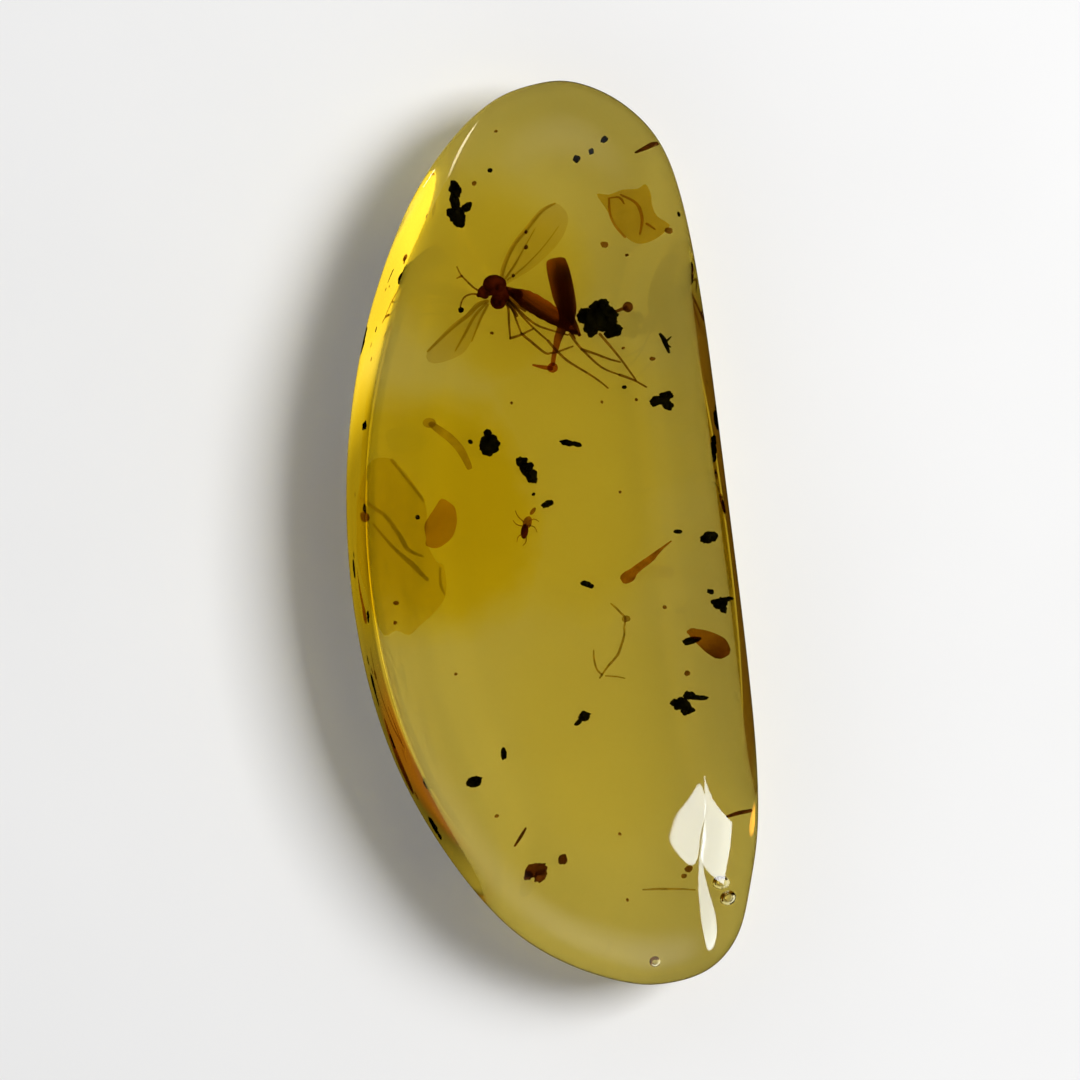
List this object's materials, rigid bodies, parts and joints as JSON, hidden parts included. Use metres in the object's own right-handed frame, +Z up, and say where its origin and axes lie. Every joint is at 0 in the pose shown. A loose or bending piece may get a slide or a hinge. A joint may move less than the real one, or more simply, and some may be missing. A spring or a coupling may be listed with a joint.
{
  "type": "insect in amber",
  "caption": "Polished half-moon drop of clear golden amber with a fungus gnat, splinters, resin flakes, a seed and crumbs of bark sealed in it; it lies on its flat underside.",
  "frame": {"origin": "under the middle of the drop, on the surface that it lies on", "axes": "+Y along the drop to the blunt end where the gnat is, +X to the straight side, +Z up out of the crown"},
  "size_m": [0.0116, 0.0273, 0.0051],
  "materials": {
    "amber": "clear, polished",
    "gnat_cuticle": "dark red-brown, satin",
    "red_wood": "dark red-brown, dull",
    "black_bark": "black, dull",
    "brown_bark": "brown, dull",
    "honey_resin": "translucent honey",
    "orange_resin": "translucent orange-brown",
    "leaf": "translucent, thin",
    "mite_skin": "amber-brown, satin",
    "thread": "brown, thin"
  },
  "bodies": {
    "root": {"amber_top": "amber", "amber_base": "amber", "gnat": "gnat_cuticle", "splinter": "red_wood", "stalked_spore": "red_wood", "bark_clump": "black_bark", "resin_flake": "honey_resin", "plant_hair": "honey_resin", "leaf_membrane": "leaf", "orange_flake": "orange_resin", "club_splinter": "orange_resin", "seed": "orange_resin", "mite": "mite_skin", "curled_thread": "thread", "fibre": "thread", "forked_sliver": "black_bark", "brown_sliver_left": "brown_bark", "brown_sliver_right": "brown_bark", "bark_crumb_upper_left": "black_bark", "bark_crumb_oval": "black_bark", "bark_crumb_chip": "black_bark", "bark_crumb_flat": "black_bark", "bark_crumb_middle": "black_bark", "bark_crumb_small": "black_bark", "bark_crumb_right": "black_bark", "bark_crumb_bead": "black_bark", "bark_crumb_edge": "black_bark", "bark_crumb_seed": "black_bark", "bark_crumb_lobed": "black_bark", "bark_crumb_tailed": "black_bark", "bark_crumb_lower_left": "black_bark", "bark_crumb_upright": "black_bark", "bark_crumb_brown": "brown_bark", "bark_crumb_brown_small": "brown_bark"}
  },
  "joints": []
}
